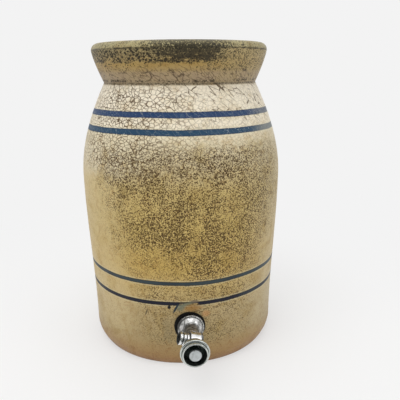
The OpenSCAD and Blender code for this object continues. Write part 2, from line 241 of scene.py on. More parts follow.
jar = {
    "height": 0.370, "footRadius": 0.108, "heelHeight": 0.022, "lowRadius": 0.1166,
    "bellyRadius": 0.1239, "bellyHeight": 0.215, "neckHeight": 0.325, "neckRadius": 0.0927,
    "neckSlope": 0.5, "collarRise": 0.037, "collarRadius": 0.1059, "lipRound": 0.008,
    "wall": 0.0125, "floor": 0.014, "floorRound": 0.014, "mouthRadius": 0.082,
    "lidRadius": 0.091, "ledgeHeight": 0.356, "mouthRound": 0.003,
    "footEdge": 0.0008, "collarCurve": 1.3, "holeRadius": 0.0105,
    "throwingMarks": 0.00022, "marksPitch": 0.0085, "marksFrom": 0.004, "marksTo": 0.322,
    "marksClearOfTap": 0.021, "marksFade": 0.02, "holeFrom": 0.09, "holeTo": 0.13, "skin": 0.004,
    "insideFrom": 0.003, "shoulderTop": 0.324, "collarFoot": 0.0945, "bareUnder": 0.0004, "sides": 224,
}
tapHeight = 0.0544


def ease(t):
    return t * t * (3 - 2 * t)


def wallRadius(z):
    if z < jar["heelHeight"]:
        return jar["lowRadius"] - (jar["lowRadius"] - jar["footRadius"]) * (1 - z / jar["heelHeight"]) ** 2
    if z < jar["bellyHeight"]:
        t = (z - jar["heelHeight"]) / (jar["bellyHeight"] - jar["heelHeight"])
        return jar["lowRadius"] + (jar["bellyRadius"] - jar["lowRadius"]) * ease(t)
    rise = jar["neckHeight"] - jar["bellyHeight"]
    t = (z - jar["bellyHeight"]) / rise
    return (jar["bellyRadius"] + (jar["neckRadius"] - jar["bellyRadius"]) * ease(t)
            + jar["neckSlope"] * rise * t * t * (1 - t))


def heights(low, high, count):
    return [low + (high - low) * i / count for i in range(count)]


def jarProfile():
    top, lip, corner = jar["height"], jar["lipRound"], jar["floor"] + jar["floorRound"]
    wall = (heights(jar["footEdge"], jar["heelHeight"], 12) + heights(jar["heelHeight"], jar["bellyHeight"], 66)
            + heights(jar["bellyHeight"], jar["neckHeight"], 44))
    side = [(wallRadius(z), z) for z in wall]
    flare = jar["collarRadius"] - jar["neckRadius"]
    collar = [(jar["neckRadius"] + flare * (1 - (1 - t) ** jar["collarCurve"]),
               jar["neckHeight"] + jar["collarRise"] * t) for t in [i / 20 for i in range(21)]]
    lipSide = arc(jar["collarRadius"] - lip, top - lip, lip, 8, 90, 12)
    inner = ([(jar["lidRadius"] + jar["mouthRound"], top)]
             + arc(jar["lidRadius"] + jar["mouthRound"], top - jar["mouthRound"], jar["mouthRound"], 90, 180)
             + [(jar["lidRadius"], jar["ledgeHeight"])]
             + arc(jar["mouthRadius"] + jar["mouthRound"], jar["ledgeHeight"] - jar["mouthRound"],
                   jar["mouthRound"], 90, 180))
    inside = [(max(wallRadius(z) - jar["wall"], jar["mouthRadius"]), z)
              for z in reversed(wall) if corner < z]
    inside = [p for p in inside if p[1] < inner[-1][1]]
    floor = arc(wallRadius(corner) - jar["wall"] - jar["floorRound"], corner, jar["floorRound"], 0, -90)
    foot = [(0, 0), (wallRadius(jar["footEdge"]) - jar["footEdge"], 0)]
    return foot + side + collar + lipSide + inner + inside + floor + [(0, jar["floor"])]


def makeJar():
    bm = turned(jarProfile(), jar["sides"], closed=False)
    bmesh.ops.recalc_face_normals(bm, faces=bm.faces)
    for corner in bm.verts:
        x, y, z = corner.co
        r = math.hypot(x, y)
        if not jar["marksFrom"] < z < jar["marksTo"] or r < wallRadius(z) - jar["skin"]:
            continue
        turn = math.atan2(x, -y)
        # shallow marks of the thrower's fingers, none where the washer sits
        fromTap = math.hypot(x, z - tapHeight) - jar["marksClearOfTap"]
        clear = min(1, max(0, fromTap / jar["marksFade"])) if y < 0 else 1
        wave = 0.5 + 0.5 * math.sin(math.tau * z / jar["marksPitch"] + turn + 1.3 * math.sin(z * 61))
        uneven = 0.45 + 0.55 * math.sin(z * 23 + 0.7 * math.sin(2 * turn))
        depth = clear * jar["throwingMarks"] * uneven * wave
        corner.co.x *= 1 - abs(depth) / r
        corner.co.y *= 1 - abs(depth) / r
    piece = finishMesh(bm, "stonewareJar", 40)
    hole = finishMesh(rod(jar["holeRadius"], jar["holeFrom"], jar["holeTo"], 48), "holeTool")
    hole.data.transform(tapFrame)
    carve(piece, hole)
    smoothAgain(piece, 40)
    return piece


def clayPart(spot):
    # 0 for the outside's glaze, 1 for the inside's and 2 for the bare foot
    r = math.hypot(spot.x, spot.y)
    shoulder = wallRadius(min(spot.z, jar["shoulderTop"]))
    outside = shoulder if spot.z < jar["neckHeight"] else jar["collarFoot"]
    inside = spot.z > jar["insideFrom"] and r < outside - jar["skin"]
    return 1 if inside else 2 if spot.z < jar["bareUnder"] else 0


tapFrame = Matrix.Translation((0, 0, tapHeight)) @ Matrix.Rotation(math.radians(90), 4, "X")
stonewareJar = makeJar()
for face in stonewareJar.data.polygons:
    face.material_index = clayPart(face.center)
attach(stonewareJar, "pot")
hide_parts("jar", "slip_bands")
print("jar thrown,", len(stonewareJar.data.polygons), "faces")


# the jar's glaze

glaze = {
    # height in metres and the glaze's colour there, as a screen shows it
    "body": [(0.000, (152, 110, 64)), (0.010, (160, 126, 78)), (0.035, (166, 146, 103)),
             (0.072, (180, 160, 116)), (0.094, (192, 168, 112)), (0.125, (190, 160, 86)),
             (0.170, (189, 163, 93)), (0.212, (194, 171, 110)), (0.238, (204, 188, 148)),
             (0.262, (218, 207, 176)), (0.288, (224, 212, 184)), (0.314, (226, 216, 192)),
             (0.3235, (206, 192, 162)), (0.3265, (162, 144, 108)), (0.334, (166, 146, 106)),
             (0.3455, (166, 139, 78)), (0.353, (168, 146, 94)), (0.3615, (166, 152, 108)),
             (0.3640, (168, 158, 116)), (0.370, (176, 166, 124))],
    # the three side tones are partly the glaze's own and partly painted light on the left and painted shade on
    # the right
    "paleLitSide": (204, 186, 140), "paleLitShoulder": (226, 218, 194), "greyShadedSide": (188, 174, 138),
    "paleNeck": (238, 230, 212), "warmBlotch": (214, 186, 146), "warmPatch": (222, 206, 164),
    "fineGrain": (176, 156, 122), "speckGround": (146, 126, 66), "speckGap": (216, 192, 130),
    "speck": (62, 40, 10), "crackle": (84, 64, 40), "crack": (76, 58, 36),
    "collarRight": (168, 148, 102), "collarFoot": (154, 134, 108), "collarCrack": (70, 54, 36),
    "collarLeft": (120, 106, 72), "collarCore": (64, 56, 34), "stain": (28, 24, 12),
    "lipDirt": (56, 50, 32), "smoke": (44, 40, 26), "underLipShade": (40, 36, 24), "grooveDirtAndShade": (72, 62, 44),
    "upperBand": (30, 57, 95), "lowerBand": (30, 64, 90), "bandBlotch": (82, 104, 122),
    "bandEdge": (16, 26, 52), "bandWorn": (104, 112, 112), "bandScratch": (168, 172, 162),
    "bandDot": (150, 164, 170), "thinLine": (12, 16, 34), "wornLine": (54, 68, 70),
    "lineEdge": (12, 16, 28), "halo": (206, 200, 168),
    "bandWidth": 0.0064, "lineWidth": 0.0047, "bandHeights": (0.2935, 0.2755),
    "lineHeights": (0.1074, 0.0822),
    # marks on the front: x, z, half width, half height, lean, colour, strength
    "marks": [(-0.0040, 0.0815, 0.0048, 0.0036, -2.4, (112, 116, 94), 0.80),
              (0.0046, 0.0846, 0.0044, 0.0020, 0.0, (104, 88, 76), 0.70),
              (0.0026, 0.0766, 0.0098, 0.0040, 0.0, (150, 104, 44), 0.66),
              (-0.0105, 0.0776, 0.0044, 0.0048, -0.5, (110, 118, 100), 0.72),
              (-0.0166, 0.0762, 0.0015, 0.0062, -0.505, (18, 42, 54), 0.98),
              (-0.0240, 0.0778, 0.0022, 0.0024, 0.0, (10, 9, 8), 1.0),
              (-0.0239, 0.0802, 0.0010, 0.0026, 0.0, (12, 12, 12), 0.95),
              (-0.0500, 0.0690, 0.0009, 0.0052, -0.35, (62, 50, 34), 0.75),
              (0.0181, 0.0680, 0.0044, 0.0038, 0.0, (196, 122, 58), 0.38),
              (-0.0270, 0.0480, 0.0050, 0.0150, 0.1, (120, 108, 78), 0.35),
              (0.0635, 0.3650, 0.0016, 0.0013, 0.0, (60, 52, 38), 0.90)],
}


def band(height, centre, width, soft=0.00035):
    away = calc("ABSOLUTE", minus(height, centre))
    half = width / 2
    inside = fade(away, half + soft, half - soft)
    edge = times(inside, fade(away, half * 0.55, half * 0.95))
    halo = times(fade(away, half + 0.0002, half + 0.0006), fade(away, half + 0.0018, half + 0.0009))
    return inside, edge, halo


def strewn(grain, density):
    # dark grains that lie closer together where the density is nearer one
    full = plus(grain, times(density, 0.30))
    return times(fade(full, 0.59, 0.66), fade(density, 0.0, 0.12))


def peppered(points, density):
    # separate dark dots round the points of a cell pattern, wider where the density is nearer one
    size = minus(points, times(density, 0.23))
    return times(fade(size, 0.21, 0.13), fade(density, 0.0, 0.12))


def squareShare(value, size):
    return calc("POWER", calc("ABSOLUTE", calc("DIVIDE", value, size)), 2.0)


def tint(name):
    return paint(*glaze[name])


def lay(colour, name, *amounts, mode="MIX"):
    # lays one of the glaze's tones over the colour, as thick as the product of the amounts
    return blend(times(*amounts), colour, tint(name), mode)


def makeGlaze():
    material, spot = newMaterial("crazedGlaze", Coat_Weight=0.10, Coat_Roughness=0.28,
                                 Specular_IOR_Level=0.28)
    tree, axes = material.node_tree, axesOf(spot)
    height = axes[2]
    turn = calc("ARCTAN2", axes[0], times(axes[1], -1.0))
    spread = calc("ABSOLUTE", turn)
    broad = cloud(spot, 11, 3, 0.6)
    patches = cloud(spot, 42, 4, 0.6, 0.6)
    blotches = cloud(spot, 120, 4, 0.65, 1.2)
    grain = cloud(spot, 720, 2, 0.6, 0.6)
    fine = cloud(spot, 1400, 2, 0.6)
    points = cells(spot, 450, "F1")
    coarse = cells(spot, 340, "F1")

    # the body's colour by height, with an uneven border between the tones
    wavy = offset(height, patches, 0.010)
    near = offset(height, patches, 0.0016)
    zone = put(tree, "Mix", {0: fade(height, 0.318, 0.323), 2: wavy, 3: near}).outputs[0]
    colour = steps(calc("DIVIDE", zone, jar["height"]),
                   [(z / jar["height"], paint(*tone)) for z, tone in glaze["body"]])
    # paler on the left and its shoulder, greyer on the right: partly the glaze's own tone, partly painted light
    # and painted shade
    side = hump(height, 0.03, 0.26, 0.02)
    colour = lay(colour, "paleLitSide", side, fade(turn, -0.45, -0.85, 0, 0.55))
    colour = lay(colour, "paleLitShoulder", hump(height, 0.228, 0.262, 0.012), fade(turn, -0.25, -0.7, 0, 0.6))
    colour = lay(colour, "greyShadedSide", side, fade(turn, 0.35, 1.0, 0, 0.62))
    colour = lay(colour, "warmBlotch", fade(blotches, 0.45, 0.75, 0, 0.55), mode="MULTIPLY")
    colour = lay(colour, "warmPatch", fade(patches, 0.50, 0.72, 0, 0.50), mode="MULTIPLY")
    colour = lay(colour, "fineGrain", fade(fine, 0.40, 0.62, 0.22, 0), mode="MULTIPLY")

    # iron specks, thickest on the front of the belly, in patches behind
    leftEdge = fade(height, 0.100, 0.215, -0.54, -0.98)
    rightEdge = fade(height, 0.100, 0.215, 0.84, 1.14)
    drift = cloud(spot, 24, 3, 0.6)
    front = times(fade(minus(offset(turn, drift, 0.9), leftEdge), -0.28, 0.50),
                  fade(minus(rightEdge, offset(turn, drift, 1.0)), -0.25, 0.45),
                  hump(height, 0.1085, 0.258, 0.012))
    low = times(hump(turn, -0.50, 0.70, 0.25), hump(height, 0.030, 0.1085, 0.012),
                fade(height, 0.07, 0.09, 0.50, 0.72))
    behind = times(fade(spread, 1.3, 1.9), hump(height, 0.09, 0.26, 0.03), fade(broad, 0.42, 0.62))
    thick = times(most(front, low, behind), fade(blotches, 0.32, 0.60, 0.60, 1.0),
                  fade(drift, 0.36, 0.62, 0.62, 1.0))
    speckled = most(times(strewn(grain, times(thick, 0.46)), 0.85),
                    peppered(points, thick), times(fade(points, 0.2468, 0.1668), 0.7))
    colour = lay(colour, "speckGround", thick, fade(patches, 0.32, 0.66, 0.0, 0.50))
    colour = lay(colour, "speckGap", thick, fade(grain, 0.46, 0.36, 0, 0.6))
    colour = lay(colour, "speck", speckled, fade(thick, 0.1, 0.7, 0.62, 0.97))

    # crazing: a fine mesh on the shoulder in flat cells, and longer cracks running down to the right
    swirl = put(tree, "TexNoise", {"Vector": spot, "Scale": 170.0, "Detail": 2.0}).outputs["Color"]
    swirl = put(tree, "VectorMath", {0: swirl, 3: 0.0018}, operation="SCALE").outputs[0]
    bent = put(tree, "VectorMath", {0: spot, 1: swirl}, operation="ADD").outputs[0]
    mesh = fade(cells(stretched(bent, 1.0, 1.0, 1.30), 205), 0.108, 0.050)
    shoulder = hump(height, 0.232, 0.322, 0.010)
    collarFree = fade(height, 0.3240, 0.3225)
    mesh = times(mesh, shoulder, fade(offset(turn, patches, 0.9), -0.60, 0.40, 1.0, 0.30),
                 fade(blotches, 0.36, 0.56, 0.50, 1.0), fade(spread, 0.9, 1.3, 1, 0.6))
    twisted = put(tree, "VectorRotate", {"Vector": bent, "Angle": times(height, 9.0)},
                  rotation_type="Z_AXIS").outputs[0]
    drawn = stretched(twisted, 1.0, 1.0, 0.55)
    longCracks = fade(cells(drawn, 104), 0.042, 0.014)
    upper = hump(height, 0.285, 0.345, 0.012)
    longCracks = times(longCracks, upper, fade(cloud(spot, 75, 2), 0.42, 0.54),
                       fade(spread, 0.95, 1.3, 1, 0.4))
    colour = lay(colour, "paleNeck", fade(height, 0.262, 0.285), collarFree,
                 fade(patches, 0.38, 0.58, 0.1, 0.60))
    colour = lay(colour, "crackle", mesh, 0.96)
    colour = lay(colour, "crack", longCracks, 0.9)

    # the collar: black stain under the lip, ochre below it, a greyer foot with dirt and painted shade in its
    # groove, and painted shade under the lip
    collar = hump(height, 0.3262, 0.3618, 0.0010)
    rows = cloud(stretched(spot, 1.0, 1.0, 4.0), 70, 4, 0.7)
    edge = offset(offset(height, blotches, 0.016), rows, 0.022)
    high = fade(edge, 0.3445, 0.3515)
    around = offset(offset(turn, rows, 0.9), blotches, 0.5)
    core = times(high, fade(around, -0.55, -0.08), fade(around, 0.56, 0.24), 0.80)
    left = times(high, fade(around, 0.0, -0.4), 0.60)
    edging = times(fade(edge, 0.3370, 0.3440), fade(around, -0.30, -0.75), 0.44)
    right = times(fade(around, 0.05, 0.45), fade(height, 0.335, 0.345),
                  fade(blotches, 0.35, 0.6, 0.12, 0.36))
    colour = lay(colour, "collarRight", collar, fade(around, 0.15, 0.60, 0, 0.6))
    foot = times(hump(height, 0.3266, 0.3290, 0.0015), fade(patches, 0.44, 0.58, 0.1, 0.66))
    grained = most(core, foot, right, times(left, 0.5))
    dotted = most(times(left, 2.1), times(core, 1.1), edging, times(right, 0.8))
    stained = times(most(times(strewn(grain, grained), 0.9), peppered(coarse, dotted)), collar)
    hatched = times(fade(cells(drawn, 260), 0.11, 0.03),
                    hump(height, 0.3275, 0.3405, 0.0015), fade(blotches, 0.40, 0.56, 0.1, 0.9))
    colour = lay(colour, "collarFoot", collar, fade(patches, 0.35, 0.65, 0.25, 0.75),
                 fade(height, 0.3395, 0.3360))
    colour = lay(colour, "collarCrack", hatched, 0.9)
    colour = lay(colour, "collarLeft", collar, left, fade(rows, 0.35, 0.60, 0.3, 1.0))
    colour = lay(colour, "collarCore", collar, core, fade(rows, 0.35, 0.60, 0.2, 0.8))
    colour = lay(colour, "stain", stained, 0.92)
    onLip = most(times(hump(turn, -0.40, 0.50, 0.3), 0.72), 0.20)
    colour = lay(colour, "lipDirt", fade(height, 0.3616, 0.3630),
                 most(strewn(grain, onLip), peppered(coarse, onLip)), 0.88)
    smoked = times(hump(around, -0.25, 0.42, 0.2), fade(near, 0.3672, 0.3642),
                   fade(height, 0.3600, 0.3612))
    colour = lay(colour, "smoke", strewn(grain, times(smoked, 0.8)), 0.85)
    # a dark line of painted shade under the lip's roll
    colour = lay(colour, "underLipShade", hump(near, 0.3612, 0.3628, 0.0006),
                 fade(blotches, 0.35, 0.6, 0.25, 0.95))
    # dirt and painted shade in the groove at the collar's foot
    colour = lay(colour, "grooveDirtAndShade", hump(near, 0.3236, 0.3262, 0.0008),
                 fade(grain, 0.42, 0.60, 0.35, 0.95))

    # the slip bands, brushed on by hand: two wide ones, then two thin lines
    brushed = offset(offset(height, cloud(spot, 16, 2), 0.0022), grain, 0.0007)
    wear = fade(turn, 0.62, 1.0)
    scratches = fade(cells(stretched(twisted, 1.0, 1.0, 0.3), 150), 0.020, 0.006)
    dots = times(peppered(points, fade(patches, 0.5, 0.7, 0.0, 0.4)), 0.7)
    smudge = times(hump(turn, -0.100, 0.075, 0.014), hump(height, 0.0785, 0.0826, 0.0007))
    dipped = plus(brushed, times(minus(1.0, calc("COSINE", turn)), 0.0012))
    slip = 0.0
    for number, centre in enumerate(glaze["bandHeights"] + glaze["lineHeights"]):
        wide = number < 2
        inside, rim, halo = band(dipped if wide else brushed, centre,
                                 glaze["bandWidth" if wide else "lineWidth"])
        if wide:
            tone = lay(tint("upperBand" if number == 0 else "lowerBand"), "bandBlotch",
                       fade(blotches, 0.52, 0.75, 0, 0.6))
            tone = lay(tone, "bandEdge", rim, 0.55)
            tone = lay(tone, "bandWorn", wear, 0.35 if number == 0 else 0.75)
            tone = lay(tone, "bandScratch", scratches, 0.28)
            tone = lay(tone, "bandDot", dots)
            inside = times(inside, fade(fine, 0.78, 0.68, 0.5, 1.0), fade(wear, 0, 1, 1, 0.9))
        else:
            worn = (fade(cloud(spot, 26, 2), 0.25, 0.60, 0.55, 1.0) if number == 2
                    else fade(cloud(spot, 30, 2), 0.50, 0.75, 0.0, 0.5))
            tone = lay(tint("thinLine"), "wornLine", worn, 0.8)
            tone = lay(tone, "lineEdge", rim, 0.8)
            inside = times(inside, minus(1.0, times(smudge, 0.85)))
        colour = lay(colour, "halo", halo, fade(patches, 0.3, 0.6, 0.1, 0.45))
        colour = blend(inside, colour, tone)
        slip = plus(slip, inside)

    # a smear, rust and drips over the tap, and a chip in the lip; a broad mark has a softer edge
    facing = fade(axes[1], -0.02, -0.03)
    for x, z, wide, tall, lean, tone, amount in glaze["marks"]:
        up = minus(height, z)
        across = plus(minus(axes[0], x), times(up, lean))
        reach = plus(squareShare(across, wide), squareShare(up, tall))
        reach = offset(offset(reach, blotches, 1.8), grain, 1.2)
        outer, inner = (2.1, 0.0) if wide > 0.003 else (1.25, 0.40)
        covered = times(fade(reach, outer, inner, 0, amount), facing)
        colour = blend(covered, colour, paint(*tone))

    cracked = most(mesh, longCracks)
    rough = plus(0.46, times(most(speckled, stained), 0.18))
    rough = plus(rough, times(cracked, 0.3))
    rough = plus(rough, times(fade(patches, 0.4, 0.7), 0.12), True)
    dent = minus(times(grain, 0.25), times(speckled, 0.35))
    dent = minus(dent, times(cracked, 0.5))
    dent = plus(dent, times(patches, 1.1))
    dent = plus(dent, times(slip, 0.25))
    return dressed(material, colour, rough, dent, 0.0006, 0.6)


def makeInsideGlaze():
    material, spot = newMaterial("insideGlaze", Coat_Weight=0.4, Coat_Roughness=0.15)
    height = axesOf(spot)[2]
    patches = cloud(spot, 30, 4, 0.6, 0.8)
    grain = cloud(spot, 500, 4, 0.7)
    wavy = offset(height, patches, 0.010)
    colour = steps(calc("DIVIDE", wavy, jar["height"]), [
        (0.030, paint(150, 132, 98)), (0.080, paint(178, 162, 126)), (0.600, paint(186, 171, 136)),
        (0.640, paint(158, 140, 102)), (0.665, paint(190, 176, 144)), (0.955, paint(178, 164, 130)),
        (1.000, paint(188, 184, 156))])
    colour = blend(fade(patches, 0.45, 0.75, 0, 0.4), colour, paint(216, 200, 168), "MULTIPLY")
    colour = blend(fade(grain, 0.58, 0.72, 0, 0.45), colour, paint(126, 104, 66))
    ledge = hump(height, 0.3545, 0.3575, 0.001)
    colour = blend(times(ledge, 0.6), colour, paint(150, 128, 96))
    turns = calc("SINE", times(height, math.tau / 0.011))
    dent = plus(times(turns, 0.25), times(patches, 1.2))
    return dressed(material, colour, fade(patches, 0.3, 0.7, 0.28, 0.48), dent, 0.0007, 0.6)


def makeBareClay():
    material, spot = newMaterial("bareFoot")
    patches = cloud(spot, 55, 4, 0.6)
    grit = cloud(spot, 900, 3, 0.7)
    colour = steps(patches, [(0.3, paint(150, 124, 92)), (0.7, paint(176, 152, 118))])
    colour = blend(fade(grit, 0.58, 0.66, 0, 0.7), colour, paint(96, 76, 54))
    return dressed(material, colour, fade(grit, 0.3, 0.7, 0.78, 0.95), grit, 0.0003, 0.8)


for finish in (makeGlaze(), makeInsideGlaze(), makeBareClay()):
    stonewareJar.data.materials.append(finish)
print("glaze mixed")


# the tap, and its metals and rubber

def makeNickel(name, grimeAndShadePlaces, worn, light):
    # bright plating with fine wear; the places function gives a mask of settled grime and painted shade, and
    # its tone
    material, spot = newMaterial(name, Metallic=1.0)
    patches = cloud(spot, 140, 4, 0.65, 1.0)
    rubbed = cloud(spot, 900, 3, 0.7)
    colour = steps(patches, [(0.28, (light[0] * 0.62, light[1] * 0.63, light[2] * 0.60, 1)),
                             (0.50, light + (1,)),
                             (0.75, (light[0] * 1.12, light[1] * 1.12, light[2] * 1.13, 1))])
    pits = times(fade(rubbed, 0.60, 0.70), fade(patches, 0.55, 0.35, 0.1, 0.8))
    colour = blend(pits, colour, (0.16, 0.15, 0.12, 1))
    rough = plus(fade(patches, 0.3, 0.7, 0.24 + worn, 0.12 + worn), times(pits, 0.3))
    grimeAndShade, tone = grimeAndShadePlaces(spot)
    grimeAndShade = times(grimeAndShade, fade(patches, 0.2, 0.6, 1.0, 0.88))
    colour = blend(grimeAndShade, colour, tone)
    rough = plus(rough, times(grimeAndShade, 0.45), True)
    dent = plus(cloud(spot, 95, 2, 0.4), times(rubbed, 0.05))
    return dressed(material, colour, rough, dent, 0.00035, 0.5)


def axisDistance(spot, matrix):
    # distance from a tilted axis, and how far along it
    along = matrix.to_3x3() @ Vector((0, 0, 1))

    def vector(operation, first, second=None):
        sockets = {0: first} if second is None else {0: first, 1: tuple(second)}
        return put(treeOf(spot), "VectorMath", sockets, operation=operation).outputs

    moved = vector("SUBTRACT", spot, matrix.translation)[0]
    far = vector("DOT_PRODUCT", moved, along)["Value"]
    side = vector("CROSS_PRODUCT", moved, along)[0]
    return vector("LENGTH", side)["Value"], far


tap = {
    "wallOut": 0.117148, "seat": 0.120448, "flangeRadius": 0.0153, "flangeThick": 0.003, "flangeRound": 0.0008,
    "bellRadius": 0.0132, "bellLength": 0.0062, "barrelRadius": 0.0086, "shoulder": 0.0015, "drumOut": 0.0305,
    "drumRadius": 0.0098, "drumBack": 0.0085, "drumFace": 0.0062, "drumRound": 0.0008, "bossLength": 0.0094,
    "bossBead": 0.0005, "neckRadius": 0.006, "neckLength": 0.0127, "spigotRadius": 0.0057,
    "spigotLength": 0.005, "shankRadius": 0.009, "shankEnd": 0.085648, "threadPitch": 0.0018,
    "threadDepth": 0.0007, "boreRadius": 0.0064, "seatBack": 0.0088, "chamberRadius": 0.0056,
    "spoutRadius": 0.007, "spoutLength": 0.017, "spoutBore": 0.0049, "cove": 0.0008, "sides": 128,
    "spoutTurn": 160, "spoutTilt": 82, "threadCrest": 0.12, "bellBow": 0.3, "seatRadius": 0.0042,
    "seatRise": 0.0008, "waterway": 0.0034, "seatLand": 0.002, "chamberLength": 0.014,
    "stemHole": 0.00208, "packingShelf": 0.0165, "packingRadius": 0.004, "socketRadius": 0.00615,
    "socketDepth": 0.0092, "cutPast": 0.001,
}
guard = {
    "length": 0.0125, "clearance": 0.00005, "rootWall": 0.0022, "beadRadius": 0.0159, "beadRound": 0.0016,
    "beadBack": 0.0052, "ringRadius": 0.0137, "ringRound": 0.0008, "bore": 0.0121, "floorRadius": 0.0115,
    "floorBevel": 0.0006,
}
button = {
    "proud": 0.0005, "thick": 0.0036, "faceRadius": 0.0061, "crown": 0.0004, "radius": 0.0066,
    "bevel": 0.0003, "hubRadius": 0.0044, "hubLength": 0.0027, "stemHole": 0.00205,
}
washer = {
    "frontRadius": 0.0170, "frontRound": 0.0008, "backRadius": 0.0172, "backRound": 0.0006,
    "bore": 0.0102, "aside": 0.001, "clearance": 0.00005, "swelling": 0.012, "swollenFrom": 0.014,
}
coil = {"start": 0.091198, "end": 0.135348, "turns": 14, "turnSteps": 24, "radius": 0.0046, "wire": 0.00045}
flangeFront = tap["seat"] + tap["flangeThick"]
spoutAt = tap["seat"] + tap["drumOut"]
neckFront = spoutAt + tap["neckLength"]
spigotFront = neckFront + tap["spigotLength"]
spoutFrame = (tapFrame @ Matrix.Translation((0, 0, spoutAt))
              @ Matrix.Rotation(math.radians(tap["spoutTurn"]), 4, "Z")
              @ Matrix.Rotation(math.radians(tap["spoutTilt"]), 4, "Y"))


def moulding(start, end, root, rise, count=12):
    # a half-round moulding between two distances along an axis
    turns = [math.pi * i / count for i in range(count + 1)]
    return [(root + rise * math.sin(a) ** 0.9, (start + end) / 2 - (end - start) / 2 * math.cos(a))
            for a in turns]


def castingProfile():
    shank, depth, pitch = tap["shankRadius"], tap["threadDepth"], tap["threadPitch"]
    crest = tap["threadCrest"]
    thread = []
    for i in range(int((tap["seat"] - pitch - tap["shankEnd"] - depth) / pitch)):
        start = tap["shankEnd"] + depth + i * pitch
        thread += [(shank - depth * crest, start), (shank, start + pitch * crest),
                   (shank - depth, start + pitch * 0.5)]
    bell = []
    for t in [i / 20 for i in range(21)]:
        fall = t - tap["bellBow"] * t * (1 - t)
        bell.append((tap["bellRadius"] - (tap["bellRadius"] - tap["barrelRadius"]) * fall,
                     flangeFront + tap["bellLength"] * t))
    barrelEnd = spoutAt - tap["seatBack"] + tap["seatLand"]
    flange, curve, neck = tap["flangeRadius"], tap["flangeRound"], tap["neckRadius"]
    return ([(0, tap["shankEnd"]), (shank - depth, tap["shankEnd"])] + thread
            + [(shank, tap["seat"] - pitch), (shank, tap["seat"])]
            + arc(flange - 0.0003, tap["seat"] + 0.0003, 0.0003, -90, 0, 3)
            + arc(flange - curve, flangeFront - curve, curve, 0, 90, 8)
            + arc(tap["bellRadius"] + 0.0004, flangeFront + 0.0004, 0.0004, -90, -150, 4) + bell[2:]
            + [(tap["barrelRadius"], barrelEnd), (neck, barrelEnd + tap["shoulder"])]
            + arc(neck - 0.0002, neckFront - 0.0002, 0.0002, 0, 90, 3)
            + [(tap["spigotRadius"], neckFront), (tap["spigotRadius"], spigotFront), (0, spigotFront)])


def hollowProfile():
    # the waterway through the shank and its seat, the valve's chamber, and the stem's and packing's bores
    seatAt = spoutAt - tap["seatBack"]
    chamber, bore, past = seatAt + tap["seatLand"], tap["boreRadius"], tap["cutPast"]
    chamberEnd, shelf = chamber + tap["chamberLength"], chamber + tap["packingShelf"]
    return [(0, tap["shankEnd"] - past), (bore, tap["shankEnd"] - past), (bore, seatAt),
            (tap["seatRadius"], seatAt), (tap["seatRadius"], seatAt - tap["seatRise"]),
            (tap["waterway"], seatAt - tap["seatRise"]), (tap["waterway"], chamber),
            (tap["chamberRadius"], chamber), (tap["chamberRadius"], chamberEnd),
            (tap["stemHole"], chamberEnd), (tap["stemHole"], shelf), (tap["packingRadius"], shelf),
            (tap["packingRadius"], spigotFront + past), (0, spigotFront + past)]


def drumProfile():
    radius, back, face, curve = tap["drumRadius"], tap["drumBack"], tap["drumFace"], tap["drumRound"]
    return ([(0, -back)] + arc(radius - curve, curve - back, curve, -90, 0, 8)
            + arc(radius - curve, face - curve, curve, 0, 90, 8)
            + moulding(face, tap["bossLength"], tap["spoutRadius"], tap["bossBead"]) + [(0, tap["bossLength"])])


def makeTapBody():
    piece = lathed("tapCasting", castingProfile(), tap["sides"], tapFrame)
    drum = lathed("drum", drumProfile(), 96, spoutFrame)
    hollow = lathed("hollow", hollowProfile(), 64, tapFrame)
    wide, deep = tap["socketRadius"], tap["socketDepth"]
    socket = lathed("socket", [(0, 0), (wide, 0), (wide, deep), (0.0064, 0.0095), (0.0064, 0.02), (0, 0.02)],
                    64, spoutFrame)
    carve(piece, drum, "UNION")
    carve(piece, hollow)
    carve(piece, socket)
    smoothAgain(piece, 19)
    return piece


def makeSpout():
    outer, cove, start, end = tap["spoutRadius"], tap["cove"], tap["bossLength"], tap["spoutLength"]
    width = (end - start - cove) / 2
    profile = ([(tap["spoutBore"], 0.0052), (0.0060, 0.0051), (0.0061, 0.0054), (0.0061, start)]
               + moulding(start, start + width, outer - cove, cove)
               + moulding(end - width, end, outer - cove, cove)
               + arc(tap["spoutBore"] + 0.0003, end - 0.0003, 0.0003, 90, 180, 3))
    return lathed("mouldedSpout", profile, 96, spoutFrame, closed=True)


def makeGuard():
    front, back = spigotFront + guard["length"], neckFront + guard["clearance"]
    bore, root = tap["spigotRadius"] + guard["clearance"], tap["spigotRadius"] + guard["rootWall"]
    beadAt, beadRadius, beadRound = front - guard["beadBack"], guard["beadRadius"], guard["beadRound"]
    rise = beadAt - beadRound - back
    bowl = [(root + (beadRadius - beadRound - root) * math.sin(a), back + rise * (1 - math.cos(a)))
            for a in [math.radians(90 * i / 16) for i in range(1, 16)]]
    ring, curve = guard["ringRadius"], guard["ringRound"]
    profile = ([(bore, back), (root - 0.0001, back), (root, back + 0.0001)] + bowl
               + arc(beadRadius - beadRound, beadAt, beadRound, -90, 90, 14)
               + [(ring + 0.0002, beadAt + beadRound + 0.0001), (ring, beadAt + beadRound + 0.0003),
                  (ring, front - curve)]
               + arc(ring - curve, front - curve, curve, 0, 180, 10)
               + [(guard["bore"], front - curve), (guard["bore"], spigotFront + guard["floorBevel"]),
                  (guard["floorRadius"], spigotFront), (bore, spigotFront)])
    return lathed("buttonGuard", profile, tap["sides"], tapFrame, closed=True)


